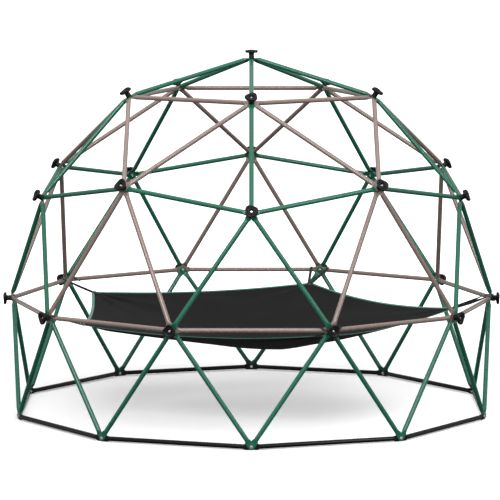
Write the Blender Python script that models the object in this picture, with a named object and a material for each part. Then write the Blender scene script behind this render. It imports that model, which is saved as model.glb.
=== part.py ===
"""Geodesic climbing dome with a hung fabric seat.

A two-frequency icosahedral dome: 95 steel tubes with flattened, drilled ends
meet on 36 through-bolts.  Every hub above the ground also carries a moulded
three-lobed hand and foot grip, and a five-cornered sheet hangs inside the dome
from every second hub of the widest ring.  Tubes of one course that share bolts
are one node, and each grip is one node with the bolt and nut that clamp it.

Metres, +Z up, origin on the ground under the middle of the dome, front at -Y.
"""
import math

import bmesh
import bpy
from mathutils import Matrix, Vector

# ---- driving dimensions -------------------------------------------------
DOME_RADIUS = 1.826          # dome centre to the middle of each hub stack
FOOT_RADIUS = 1.831          # dome axis to the middle of each ground stack
LEG_DROP = 0.820             # widest ring to the ground hubs
TUBE_DIAMETER = 0.034        # across the flats of the eight-sided tube
TUBE_SIDES = 8
TAB_THICKNESS = 0.0030       # flattened tube end
TAB_HALF_WIDTH = 0.0235
TAB_LENGTH = 0.047           # bolt centre to the bend
TAB_OVERHANG = 0.020         # bolt centre to the clipped end
TAB_CLIP = 0.011
FLARE_LENGTH = 0.038         # bend to the full round tube
TAB_RISE = 0.0070            # the tab lies this far outside the tube's centre line
LEVEL_PITCH = 0.0042         # tab to tab in a hub stack
JOG = 0.0003                 # two tabs of one course lie this far off their level
WIDTH_STEP = 0.0008          # and one is narrower, so no two faces coincide

BOLT_DIAMETER = 0.0080
HOLE_DIAMETER = 0.0100
BOLT_SIDES = 6
HEAD_DIAMETER = 0.0160
HEAD_HEIGHT = 0.0053
NUT_DIAMETER = 0.0165
NUT_HEIGHT = 0.0085
CLEARANCE = 0.0003

GRIP_HEIGHT = 0.0620
GRIP_STEM_RADIUS = 0.0203
GRIP_RIM_RADIUS = 0.0503
GRIP_RIM_THICKNESS = 0.0210
GRIP_DISH_DEPTH = 0.0110
GRIP_WAIST = 0.84            # valley radius over lobe radius
GRIP_SIDES = 9

SEAT_CORNER_RADIUS = 1.545   # corner of the hung sheet, from the dome axis
SEAT_CORNER_DROP = 0.079     # below the widest ring
SEAT_EDGE_BOW = 0.030        # edges curve in by this much
# how far the edge that starts at each corner hangs down, by azimuth: the back left one less
SEAT_EDGE_SAG = {18: 0.052, 90: 0.052, 162: 0.026, 234: 0.052, 306: 0.052}
SEAT_LOW_POINT = (0.18, -0.18)
SEAT_LOW_DROP = 0.366        # deepest point below the widest ring
SEAT_BOWL_POWER = 1.35
SEAT_THICKNESS = 0.003
SEAT_CORNER_WIDTH = 0.060
SEAT_EDGE_STEPS = 6
SEAT_RINGS = 4
BINDING_WIDTH = 0.008

STRAP_WIDTH = 0.024
STRAP_THICKNESS = 0.0016
STRAP_RUN = 0.0235           # hub plane to the middle of the webbing on a grip's stem
STRAP_CROSSING = 0.069       # bolt centre to the webbing where it crosses a rail
STRAP_LIFT = 0.0265          # and how far it passes above the rail's centre line
STRAP_BAR_DEPTH = 0.012
STRAP_BAR_THICKNESS = 0.004

# ---- derived dimensions -------------------------------------------------
CENTRE_HEIGHT = LEG_DROP + TAB_HALF_WIDTH
SEAT_AZIMUTHS = (18, 90, 162, 234, 306)

COLLECTION = bpy.data.collections.new("dome_climber")
CUTTERS = bpy.data.collections.new("dome_climber_cutters")


def clear_scene():
    for obj in list(bpy.data.objects):
        bpy.data.objects.remove(obj, do_unlink=True)
    for collection in (COLLECTION, CUTTERS):
        bpy.context.scene.collection.children.link(collection)


def material(name, colour, roughness, metallic):
    mat = bpy.data.materials.new(name)
    mat.use_nodes = True
    shader = mat.node_tree.nodes["Principled BSDF"]
    shader.inputs["Base Color"].default_value = (*colour, 1.0)
    shader.inputs["Roughness"].default_value = roughness
    shader.inputs["Metallic"].default_value = metallic
    mat.diffuse_color = (*colour, 1.0)
    return mat


def finish_mesh(mesh, mat):
    mesh.materials.clear()
    mesh.materials.append(mat)
    mesh.shade_smooth()
    mesh.set_sharp_from_angle(angle=math.radians(40))


def add_mesh(name, mesh, mat, rotation=0.0):
    finish_mesh(mesh, mat)
    return place_mesh(name, mesh, rotation)


def place_mesh(name, mesh, rotation):
    obj = bpy.data.objects.new(name, mesh)
    obj.rotation_euler = (0.0, 0.0, math.radians(rotation))
    COLLECTION.objects.link(obj)
    return obj


# ---- hubs ---------------------------------------------------------------
def polar(radius, azimuth, height):
    angle = math.radians(azimuth)
    return Vector((radius * math.sin(angle), -radius * math.cos(angle), height))


def build_hubs():
    """Every hub: its middle, and the outward normal that its bolt follows."""
    centre = Vector((0, 0, CENTRE_HEIGHT))
    mid_height = math.sin(math.radians(31.7175))
    mid_radius = math.cos(math.radians(31.7175))
    ico_height = 1 / math.sqrt(5)
    ico_radius = 2 / math.sqrt(5)
    hubs = {"crown": (centre + Vector((0, 0, DOME_RADIUS)), Vector((0, 0, 1)))}

    def sphere_hub(name, radius, azimuth, height):
        normal = polar(radius, azimuth, height).normalized()
        hubs[name] = (centre + normal * DOME_RADIUS, normal)

    for i in range(5):
        sphere_hub("upper_%d" % (72 * i), mid_height, 72 * i, mid_radius)
        sphere_hub("shoulder_%d" % (72 * i), ico_radius, 72 * i, ico_height)
        middle = (72 * i + 36) % 360
        sphere_hub("shoulder_%d" % middle, mid_radius, middle, mid_height)
    for i in range(10):
        sphere_hub("waist_%d" % (36 * i + 18), 1.0, 36 * i + 18, 0.0)
        foot = polar(FOOT_RADIUS, 36 * i, TAB_HALF_WIDTH)
        hubs["foot_%d" % (36 * i)] = (foot, polar(1.0, 36 * i, 0.0))
    return hubs


def ring(name, azimuth):
    return "%s_%d" % (name, azimuth % 360)


STACK_SIZE = {"crown": 1, "upper": 3, "shoulder": 3, "waist": 5, "foot": 2}


def stack_size(hub):
    """How many layers of flattened ends lie on one bolt."""
    return STACK_SIZE[hub.split("_")[0]]


def stack_half(hub):
    """Half the height of the stack of flattened ends on a hub."""
    jog = 4 * JOG if hub == "crown" else JOG
    return (stack_size(hub) - 1) / 2 * LEVEL_PITCH + TAB_THICKNESS / 2 + jog


# ---- struts -------------------------------------------------------------
def strut_end(hubs, hub, level, towards):
    """Frame of one flattened end: bolt centre, normal, run and side."""
    position, normal = hubs[hub]
    lift = (level - (stack_size(hub) - 1) / 2) * LEVEL_PITCH
    run = (towards - position) - normal * (towards - position).dot(normal)
    run.normalize()
    return position + normal * lift, normal, run, normal.cross(run)


def strut_mesh(hubs, hub_a, level_a, hub_b, level_b):
    """One tube: a loft from flat tab to round and back, bent at both ends.

    A level is the tab's place in its stack, from the inside out.
    """
    bm = bmesh.new()
    ends = [strut_end(hubs, hub_a, level_a, hubs[hub_b][0]),
            strut_end(hubs, hub_b, level_b, hubs[hub_a][0])]
    bends = [centre + run * TAB_LENGTH for centre, _, run, _ in ends]
    axis = (bends[1] - bends[0]).normalized()
    corner_radius = TUBE_DIAMETER / 2 / math.cos(math.pi / TUBE_SIDES)
    rings = []
    for index, (centre, normal, run, side) in enumerate(ends):
        wide = TAB_HALF_WIDTH - index * WIDTH_STEP
        outline = [(TAB_LENGTH, wide), (-TAB_OVERHANG + TAB_CLIP, wide),
                   (-TAB_OVERHANG, wide - TAB_CLIP), (-TAB_OVERHANG, -wide + TAB_CLIP),
                   (-TAB_OVERHANG + TAB_CLIP, -wide), (TAB_LENGTH, -wide)]
        half = normal * TAB_THICKNESS / 2
        top = [bm.verts.new(centre + run * x + side * y + half) for x, y in outline]
        low = [bm.verts.new(centre + run * x + side * y - half) for x, y in outline]
        bm.faces.new(top)
        bm.faces.new(low)
        for k in range(len(outline) - 1):
            bm.faces.new((top[k], top[k + 1], low[k + 1], low[k]))
        along = axis if index == 0 else -axis
        across = (side - along * side.dot(along)).normalized()
        lift = across.cross(along)
        if lift.dot(normal) < 0:
            lift = -lift
        start = bends[index] + along * FLARE_LENGTH - lift * TAB_RISE
        tube = []
        for k in range(TUBE_SIDES):
            turn = math.tau * (k + 0.5) / TUBE_SIDES
            offset = across * math.cos(turn) + lift * math.sin(turn)
            tube.append(bm.verts.new(start + offset * corner_radius))
        corners = (top[0], top[-1], low[-1], low[0])
        for quarter in range(4):
            here = corners[quarter]
            beyond = corners[(quarter + 1) % 4]
            first = tube[2 * quarter]
            second = tube[2 * quarter + 1]
            third = tube[(2 * quarter + 2) % TUBE_SIDES]
            bm.faces.new((here, second, first))
            bm.faces.new((here, beyond, third, second))
        rings.append(tube)
    # the far ring runs the other way round, because its side vector is mirrored
    far = [rings[1][(TUBE_SIDES // 2 - 1 - k) % TUBE_SIDES] for k in range(TUBE_SIDES)]
    for k in range(TUBE_SIDES):
        after = (k + 1) % TUBE_SIDES
        bm.faces.new((rings[0][k], rings[0][after], far[after], far[k]))
    return mesh_from(bm)


def mesh_from(bm):
    bmesh.ops.recalc_face_normals(bm, faces=bm.faces)
    mesh = bpy.data.meshes.new("shape")
    bm.to_mesh(mesh)
    bm.free()
    return mesh


def combined(meshes, cutter=None):
    """Union of the meshes with the bolt holes drilled, as one new mesh."""
    body = bpy.data.objects.new("work", meshes[0])
    CUTTERS.objects.link(body)
    helpers = []
    for mesh in meshes[1:]:
        helper = bpy.data.objects.new("joined", mesh)
        CUTTERS.objects.link(helper)
        helpers.append(helper)
        add_boolean(body, helper, 'UNION')
    if cutter:
        add_boolean(body, cutter, 'DIFFERENCE')
    graph = bpy.context.evaluated_depsgraph_get()
    result = bpy.data.meshes.new_from_object(body.evaluated_get(graph))
    for obj in helpers + [body]:
        bpy.data.objects.remove(obj, do_unlink=True)
    return result


def add_boolean(obj, other, operation):
    modifier = obj.modifiers.new(operation.lower(), 'BOOLEAN')
    modifier.operation = operation
    modifier.object = other
    modifier.solver = 'EXACT'


def hole_cutter(hubs):
    """Every clearance hole in one hidden object."""
    bm = bmesh.new()
    for position, normal in hubs.values():
        turn = normal.to_track_quat('Z', 'Y').to_matrix().to_4x4()
        bmesh.ops.create_cone(bm, cap_ends=True, segments=BOLT_SIDES,
                              radius1=HOLE_DIAMETER / 2, radius2=HOLE_DIAMETER / 2,
                              depth=0.05, matrix=Matrix.Translation(position) @ turn)
    cutter = bpy.data.objects.new("bolt_hole_cutter", mesh_from(bm))
    CUTTERS.objects.link(cutter)
    cutter.hide_render = True
    cutter.display_type = 'WIRE'
    return cutter


def build_frame(hubs, green, brown, black, cutter):
    fives = [72 * i for i in range(5)]
    tens = [36 * i for i in range(10)]
    jog = JOG / LEVEL_PITCH

    def struts(spans):
        return [strut_mesh(hubs, *span) for span in spans]

    # whole courses of one colour, joined where their ends share a bolt
    courses = {
        "base_ring": (black, [(ring("foot", az), -jog, ring("foot", az + 36), jog)
                              for az in tens]),
        "waist_ring": (brown, [(ring("waist", az + 18), 2 - jog, ring("waist", az + 54), 2 + jog)
                               for az in tens]),
        "shoulder_ring": (green, [(ring("shoulder", az), 1 - jog, ring("shoulder", az + 36), 1 + jog)
                                  for az in tens]),
        "upper_diagonals": (brown, [
            (ring("upper", az), 1 + side * jog, ring("shoulder", az + side * 36), 2 + side * jog)
            for az in fives for side in (1, -1)]),
        "crown_ring": (brown, [(ring("upper", az), -jog, ring("upper", az + 72), jog)
                               for az in fives]),
        "crown_ribs": (green, [("crown", (i * 2 - 4) * jog, ring("upper", az), 2 - jog)
                                for i, az in enumerate(fives)]
                       + [(ring("upper", az), 2 + jog, ring("shoulder", az), 2)
                          for az in fives]),
    }
    for name, (mat, spans) in courses.items():
        add_mesh(name, combined(struts(spans), cutter), mat)

    # V-shaped pairs, one shape turned round the dome
    foot_bolt = bmesh.new()
    add_foot_bolt(foot_bolt, hubs, "foot_0")
    legs = struts([("foot_0", 1 - jog, "waist_18", 0), ("foot_0", 1 + jog, "waist_342", 1)])
    legs = combined(legs, cutter)
    pairs = {
        "leg_pair": (green, 36, combined([legs, mesh_from(foot_bolt)])),
        "shoulder_green_pair": (green, 72, combined(struts(
            [("shoulder_0", -jog, "waist_18", 4), ("shoulder_0", jog, "waist_342", 4)]), cutter)),
        "shoulder_brown_pair": (brown, 72, combined(struts(
            [("shoulder_36", -jog, "waist_54", 3), ("shoulder_36", jog, "waist_18", 3)]), cutter)),
    }
    for name, (mat, step, mesh) in pairs.items():
        finish_mesh(mesh, mat)
        for i in range(360 // step):
            place_mesh("%s_%02d" % (name, i + 1), mesh, step * i)


# ---- turned parts -------------------------------------------------------
def add_turned(bm, profile, sides, place, lobes=None):
    """Spin a radius and height profile, then set it down with a matrix."""
    part = bmesh.new()
    verts = [part.verts.new((radius, 0, height)) for radius, height in profile]
    edges = [part.edges.new(pair) for pair in zip(verts, verts[1:])]
    bmesh.ops.spin(part, geom=verts + edges, cent=(0, 0, 0), axis=(0, 0, 1),
                   angle=math.tau, steps=sides, use_merge=True)
    bmesh.ops.remove_doubles(part, verts=part.verts, dist=1e-6)
    if lobes:
        for vert in part.verts:
            reach = math.hypot(vert.co.x, vert.co.y)
            if reach > GRIP_STEM_RADIUS * 1.2:
                turn = math.atan2(vert.co.y, vert.co.x)
                waist = (1 + GRIP_WAIST) / 2 + (1 - GRIP_WAIST) / 2 * math.cos(lobes * turn)
                vert.co.x *= waist
                vert.co.y *= waist
    bmesh.ops.recalc_face_normals(part, faces=part.faces)
    bmesh.ops.transform(part, matrix=place, verts=part.verts)
    scratch = bpy.data.meshes.new("scratch")
    part.to_mesh(scratch)
    part.free()
    bm.from_mesh(scratch)
    bpy.data.meshes.remove(scratch)


def hub_matrix(hubs, hub, lift, spin=0.0):
    """Origin on the hub's bolt line at a lift, +Z outward, +X up the dome."""
    position, normal = hubs[hub]
    up = Vector((0, 0, 1)) if hub != "crown" else Vector((0, -1, 0))
    x_axis = (up - normal * up.dot(normal)).normalized()
    y_axis = normal.cross(x_axis)
    turn = Matrix((x_axis, y_axis, normal)).transposed().to_4x4()
    return (Matrix.Translation(position + normal * lift) @ turn
            @ Matrix.Rotation(math.radians(spin), 4, 'Z'))


def fastener_profile(stack, seat):
    """Capped nut on a through-bolt, up its shank to the seat of its head."""
    shank = BOLT_DIAMETER / 2
    nut_top = -stack / 2 - CLEARANCE
    nut_low = nut_top - NUT_HEIGHT
    return [(0.0, nut_low - 0.003), (NUT_DIAMETER / 2, nut_low),
            (NUT_DIAMETER / 2, nut_top), (shank, nut_top), (shank, seat)]


def head_profile(seat):
    return [(HEAD_DIAMETER / 2, seat), (HEAD_DIAMETER / 2, seat + HEAD_HEIGHT),
            (0.0, seat + HEAD_HEIGHT)]


def add_grip(bm, hubs, hub):
    """Moulded grip clamped on the outside of a hub by the hub's own bolt."""
    stack = 2 * stack_half(hub)
    base = stack / 2 + CLEARANCE
    top = base + GRIP_HEIGHT
    profile = fastener_profile(stack, base) + [
        (GRIP_STEM_RADIUS, base), (GRIP_STEM_RADIUS - 0.001, base + 0.028),
        (GRIP_RIM_RADIUS, top - GRIP_RIM_THICKNESS), (GRIP_RIM_RADIUS, top)] \
        + head_profile(top - GRIP_DISH_DEPTH)
    add_turned(bm, profile, GRIP_SIDES, hub_matrix(hubs, hub, 0.0, 60), lobes=3)


def add_foot_bolt(bm, hubs, hub):
    """Plain bolt through the ground rails; its head is on the leg ends."""
    stack = 2 * stack_half(hub)
    legs = stack / 2 - TAB_THICKNESS / 2
    profile = fastener_profile(stack, legs) + [(HEAD_DIAMETER / 2, legs)] \
        + head_profile(stack / 2)[1:]
    add_turned(bm, profile, BOLT_SIDES, hub_matrix(hubs, hub, 0.0))


def build_grips(hubs, plastic):
    for hub in hubs:
        if not hub.startswith("foot"):
            bm = bmesh.new()
            add_grip(bm, hubs, hub)
            add_mesh("hand_grip_%s" % hub, mesh_from(bm), plastic)


# ---- hung seat ----------------------------------------------------------
def seat_edge(azimuth, steps, grow=0.0):
    """Points along one bound edge, from a corner to the next one round."""
    reach = SEAT_CORNER_RADIUS + grow
    start = polar(reach, azimuth, CENTRE_HEIGHT - SEAT_CORNER_DROP)
    start += polar(SEAT_CORNER_WIDTH / 2 + grow * 0.7, azimuth + 90, 0.0)
    end = polar(reach, azimuth + 72, CENTRE_HEIGHT - SEAT_CORNER_DROP)
    end -= polar(SEAT_CORNER_WIDTH / 2 + grow * 0.7, azimuth + 162, 0.0)
    inward = polar(-1.0, azimuth + 36, 0.0)
    points = []
    for k in range(steps + 1):
        t = k / steps
        bend = 4 * t * (1 - t)
        point = start.lerp(end, t) + inward * (SEAT_EDGE_BOW * bend)
        point.z -= SEAT_EDGE_SAG[azimuth] * bend
        points.append(point)
    return points


def seat_outline(grow=0.0):
    points = []
    for azimuth in SEAT_AZIMUTHS:
        points.extend(seat_edge(azimuth, SEAT_EDGE_STEPS, grow))
    return points


def skin(bm, rows, count):
    """Quads between closed rows of points."""
    for before, row in zip(rows, rows[1:]):
        for k in range(count):
            after = (k + 1) % count
            bm.faces.new((before[k], row[k], row[after], before[after]))


def build_sheet(mat):
    """Bowl-shaped sheet, as two faces a small thickness apart."""
    outline = seat_outline()
    low = Vector((*SEAT_LOW_POINT, CENTRE_HEIGHT - SEAT_LOW_DROP))
    count = len(outline)
    bm = bmesh.new()
    rims = []
    for level in (SEAT_THICKNESS / 2, -SEAT_THICKNESS / 2):
        lift = Vector((0, 0, level))
        middle = bm.verts.new(low + lift)
        rows = []
        for step in range(1, SEAT_RINGS + 1):
            rho = step / SEAT_RINGS
            row = []
            for point in outline:
                spot = low.lerp(point, rho)
                spot.z = low.z + (point.z - low.z) * rho ** SEAT_BOWL_POWER
                row.append(bm.verts.new(spot + lift))
            rows.append(row)
        for k in range(count):
            bm.faces.new((middle, rows[0][k], rows[0][(k + 1) % count]))
        skin(bm, rows, count)
        rims.append(rows[-1])
    skin(bm, rims, count)
    return add_mesh("hammock_sheet", mesh_from(bm), mat)


def build_binding(mat):
    """Edge tape all round, just outside the sheet."""
    inner = seat_outline(CLEARANCE)
    outer = seat_outline(CLEARANCE + BINDING_WIDTH)
    bm = bmesh.new()
    rows = []
    for points, level in ((inner, 0.5), (outer, 0.5), (outer, -0.5), (inner, -0.5)):
        lift = Vector((0, 0, SEAT_THICKNESS * level))
        rows.append([bm.verts.new(point + lift) for point in points])
    skin(bm, rows + rows[:1], len(inner))
    return add_mesh("hammock_binding", mesh_from(bm), mat)


def ribbon_mesh(points, sides, width, thickness):
    """Flat band with square ends along a line of points."""
    bm = bmesh.new()
    rows = []
    for k, (point, side) in enumerate(zip(points, sides)):
        run = points[min(k + 1, len(points) - 1)] - points[max(k - 1, 0)]
        side = (side - run * side.dot(run) / run.length_squared).normalized()
        across = side * width / 2
        through = side.cross(run).normalized() * thickness / 2
        rows.append([bm.verts.new(point + across * a + through * b)
                     for a, b in ((1, 1), (-1, 1), (-1, -1), (1, -1))])
    bm.faces.new(rows[0])
    bm.faces.new(rows[-1])
    skin(bm, rows, 4)
    return mesh_from(bm)


def strap_run():
    """Half of a strap's centre line in its hub's frame: along the ring, outward, up.

    It starts under the stem of the grip, rises beside the hub and crosses the rail."""
    radius = GRIP_STEM_RADIUS + STRAP_THICKNESS / 2 + 4 * CLEARANCE
    reach = math.hypot(STRAP_CROSSING, STRAP_LIFT)
    leave = math.acos(radius / reach) - math.atan2(STRAP_LIFT, STRAP_CROSSING)
    points = [(radius * math.cos(turn), STRAP_RUN, radius * math.sin(turn))
              for turn in (-math.pi / 2, -(math.pi / 2 + leave) / 2, -leave)]
    points += [(0.0500, STRAP_RUN, 0.0130), (0.0590, 0.0215, 0.0215),
               (0.0655, 0.0160, STRAP_LIFT), (STRAP_CROSSING, 0.0040, STRAP_LIFT + 0.0010),
               (STRAP_CROSSING, -0.0220, STRAP_LIFT)]
    return points


def strap_mesh(hubs, azimuth):
    """Webbing slung under the stem of a grip and over both rails, to one corner bar."""
    hub, _ = hubs[ring("waist", azimuth)]
    tangent = polar(1.0, azimuth + 90, 0.0)
    outward = polar(1.0, azimuth, 0.0)
    level = CENTRE_HEIGHT - SEAT_CORNER_DROP
    near = SEAT_CORNER_RADIUS + BINDING_WIDTH + 3 * CLEARANCE
    bar = bmesh.new()
    bmesh.ops.create_cube(bar, size=1.0)
    bmesh.ops.scale(bar, verts=bar.verts,
                    vec=(STRAP_BAR_DEPTH, SEAT_CORNER_WIDTH, STRAP_BAR_THICKNESS))
    turn = Matrix.Rotation(math.radians(azimuth - 90), 4, 'Z')
    middle = polar(near + STRAP_BAR_DEPTH / 2, azimuth, level)
    bmesh.ops.transform(bar, verts=bar.verts, matrix=Matrix.Translation(middle) @ turn)
    half = [Vector(point) for point in strap_run()]
    anchor = Vector((0.0155, near + STRAP_BAR_DEPTH / 2 - DOME_RADIUS, -SEAT_CORNER_DROP))
    half.append(anchor)
    whole = [Vector((-point.x, point.y, point.z)) for point in half[:0:-1]] + half
    line = [hub + tangent * x + outward * y + Vector((0, 0, z)) for x, y, z in whole]
    sides = []
    for k in range(len(line)):
        run = line[min(k + 1, len(line) - 1)] - line[max(k - 1, 0)]
        sides.append(Vector((0, 0, 1)).cross(run).normalized())
    return combined([mesh_from(bar), ribbon_mesh(line, sides, STRAP_WIDTH, STRAP_THICKNESS)])


def build_straps(hubs, mat):
    for index, azimuth in enumerate(SEAT_AZIMUTHS):
        add_mesh("hammock_strap_%d" % (index + 1), strap_mesh(hubs, azimuth), mat)


def main():
    clear_scene()
    hubs = build_hubs()
    cutter = hole_cutter(hubs)
    green = material("powder_coat_green", (0.025, 0.147, 0.087), 0.38, 0.0)
    brown = material("powder_coat_taupe", (0.267, 0.212, 0.195), 0.36, 0.0)
    black = material("powder_coat_black", (0.012, 0.012, 0.012), 0.32, 0.0)
    plastic = material("moulded_black", (0.010, 0.010, 0.011), 0.45, 0.0)
    cloth = material("woven_black", (0.018, 0.018, 0.019), 0.85, 0.0)
    tape = material("edge_tape_green", (0.060, 0.160, 0.125), 0.75, 0.0)
    webbing = material("webbing_black", (0.012, 0.012, 0.013), 0.80, 0.0)
    build_frame(hubs, green, brown, black, cutter)
    build_grips(hubs, plastic)
    build_sheet(cloth)
    build_binding(tape)
    build_straps(hubs, webbing)


main()
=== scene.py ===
"""Looks of the dome climber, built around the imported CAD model."""
import math  # noqa: E402

import bmesh  # noqa: E402
import bpy  # noqa: E402
import numpy as np  # noqa: E402
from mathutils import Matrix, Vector  # noqa: E402


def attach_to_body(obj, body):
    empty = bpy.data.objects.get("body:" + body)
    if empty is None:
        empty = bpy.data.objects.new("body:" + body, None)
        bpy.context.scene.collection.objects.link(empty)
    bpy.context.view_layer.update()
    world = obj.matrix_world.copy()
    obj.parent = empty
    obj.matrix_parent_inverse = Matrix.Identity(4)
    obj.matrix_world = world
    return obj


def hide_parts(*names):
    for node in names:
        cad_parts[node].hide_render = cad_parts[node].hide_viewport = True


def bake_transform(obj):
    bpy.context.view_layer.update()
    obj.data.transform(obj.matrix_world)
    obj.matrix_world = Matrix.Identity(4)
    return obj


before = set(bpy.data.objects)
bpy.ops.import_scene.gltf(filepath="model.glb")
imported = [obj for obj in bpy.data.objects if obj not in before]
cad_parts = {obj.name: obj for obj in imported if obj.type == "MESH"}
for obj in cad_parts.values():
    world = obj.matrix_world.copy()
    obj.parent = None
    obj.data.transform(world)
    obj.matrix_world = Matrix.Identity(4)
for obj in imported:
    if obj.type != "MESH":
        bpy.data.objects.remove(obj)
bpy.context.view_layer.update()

# ---- the CAD's own dimensions, in metres and degrees ----------------------
# azimuth 0 is the front, at -Y, and 90 is +X
RADIUS = 1.826                  # dome centre to every hub
FOOT_RADIUS = 1.831             # dome axis to the foot joints
TUBE_R = 0.017
TAB_HALF = 0.0235               # half width of a flattened tube end
TAB_LENGTH = 0.047              # bolt centre to the bend
TAB_RISE = 0.0070               # flattened end above the tube's centre line
CENTRE_Z = 0.820 + TAB_HALF     # dome centre, at the waist ring
CAP_TILT = 31.7175              # hub directions of the two-frequency dome
SEAT_AZIMUTHS = (18, 90, 162, 234, 306)
SEAT_R = 1.545                  # dome axis to a seat corner
SEAT_DROP = 0.079               # corners below the waist ring
SEAT_BOW = 0.030                # edges curve in by this much
# how far the edge that starts at each corner hangs down
SEAT_SAG = {18: 0.052, 90: 0.052, 162: 0.026, 234: 0.052, 306: 0.052}
SEAT_LOW = np.array((0.18, -0.18, CENTRE_Z - 0.366))
SEAT_POWER = 1.35               # bowl shape: 1 is a cone, 2 is round
CORNER_WIDTH = 0.060            # short straight edge at each corner
STRAP_WIDTH = 0.024

# ---- finer dimensions of the visible surface ------------------------------
TUBE_SIDES = 18
TAB_T = 0.0024                  # flattened end, two walls thick
STACK_PITCH = 0.0026            # from one tab to the next on a bolt
GRIP_RIM = 0.0506
GRIP_STEM = 0.0204
GRIP_SEAT = 0.0430              # bolt head above the grip's base
LOBE_CURL = 0.0040              # lobes rise above the valleys
# each grip is bolted on at its own angle
GRIP_TURN = {"shoulder_0": -20, "shoulder_324": 60, "shoulder_36": -30, "waist_18": 25,
             "waist_342": 50, "upper_0": 35}
SHEET_PLY = 0.0012
TAPE_WIDTH = 0.021
TAPE_PLY = 0.0010
TAPE_FOLD = 0.0016              # fold outside the sheet's cut edge
PLY_GAP = 0.0002                # air between cloth plies
STRAP_PLY = 0.0015
STRAP_RUN = 0.0235              # strap's line on the stem, outward from the hub
CROSSING = 0.069                # where the strap crosses a rail, beside the hub
CROSSING_LIFT = 0.0205
SEWN_LENGTH = 0.055             # strap tail on the sheet
# how far each strap's free spans have rolled over, in radians
SPAN_ROLL = {18: 0.50, 90: 1.10, 162: 0.25, 234: 0.60, 306: 0.60}

# ---- camera, sky and floor -------------------------------------------------
CAMERA_AT = (0.0, -23.089, 3.946)
CAMERA_DIP = 6.756              # degrees below level
CAMERA_LENS = 219.3
CAMERA_SHIFT = -0.0029
# grey of the sky, from straight down at 0 to straight up at 1
SKY = ((0.0, 0.03), (0.46, 0.10), (0.487, 1.0), (0.535, 1.0), (0.56, 0.16), (1.0, 0.30))
FLOOR_HALF = 400
# painted light: the paper gives off light of its own, strong under the seat, weaker round it
# and strong again far out, which paints the soft shadow's falloff and keeps the far floor
# white; strength and distance from its middle, near and far
PAINTED_LIGHT_MIDDLE, PAINTED_LIGHT_OVAL = (0.25, -0.10), 1.12
PAINTED_LIGHT_NEAR = (0.50, 0.18, 1.0, 2.1)
PAINTED_LIGHT_FAR = (0.0, 0.8, 2.6, 8.0)


# ---- small helpers --------------------------------------------------------
def polar(radius, azimuth, z=0.0):
    """Point at an azimuth round the dome's axis."""
    a = math.radians(azimuth)
    return np.array((radius * math.sin(a), -radius * math.cos(a), z))


def unit(v):
    return v / np.linalg.norm(v)


def smooth(x, low=0.0, high=1.0):
    """Soft step from 0 at low to 1 at high."""
    t = np.clip((x - low) / (high - low), 0.0, 1.0)
    return t * t * (3 - 2 * t)


class Shape:
    """Collects vertices, faces and UVs, then makes one object."""

    def __init__(self):
        self.verts, self.faces, self.uvs, self.count = [], [], [], 0

    def add(self, verts, faces, uvs=None):
        verts = np.asarray(verts, float)
        self.verts.append(verts)
        self.faces.extend([tuple(i + self.count for i in f) for f in faces])
        self.uvs.append(np.zeros((len(verts), 2)) if uvs is None else np.asarray(uvs, float))
        self.count += len(verts)

    def rows(self, rows, closed_u=True, closed_v=False, caps=(False, False), uvs=None):
        """Quads over a grid of rows. closed_u joins the ends of each row."""
        rows = np.asarray(rows)
        m, n = rows.shape[:2]
        faces = []
        for i in range(m if closed_v else m - 1):
            j = (i + 1) % m
            for k in range(n if closed_u else n - 1):
                q = (k + 1) % n
                faces.append((i * n + k, i * n + q, j * n + q, j * n + k))
        if caps[0]:
            faces.append(tuple(reversed(range(n))))
        if caps[1]:
            faces.append(tuple((m - 1) * n + k for k in range(n)))
        self.add(rows.reshape(-1, 3), faces,
                 None if uvs is None else np.asarray(uvs).reshape(-1, 2))

    def make(self, name, material, sharp, outward=True):
        """The object. Edges bent more than sharp degrees are hard."""
        mesh = bpy.data.meshes.new(name)
        mesh.from_pydata(np.concatenate(self.verts).tolist(), [], self.faces)
        uvs = np.concatenate(self.uvs)
        layer = mesh.uv_layers.new(name="run")
        index = np.empty(len(mesh.loops), np.int32)
        mesh.loops.foreach_get("vertex_index", index)
        layer.data.foreach_set("uv", uvs[index].astype(np.float32).ravel())
        mesh.materials.append(material)
        if outward:
            turn_faces_out(mesh)
        mesh.shade_smooth()
        mesh.set_sharp_from_angle(angle=math.radians(sharp))
        obj = bpy.data.objects.new(name, mesh)
        bpy.context.scene.collection.objects.link(obj)
        return obj


def turn_faces_out(mesh):
    bm = bmesh.new()
    bm.from_mesh(mesh)
    bmesh.ops.recalc_face_normals(bm, faces=bm.faces)
    bm.to_mesh(mesh)
    bm.free()


def attach(obj, body, nodes=()):
    """Ride the piece on a body, in place of CAD nodes where it stands for them."""
    if body:
        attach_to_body(obj, body)
    if nodes:
        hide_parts(*nodes)


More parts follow.
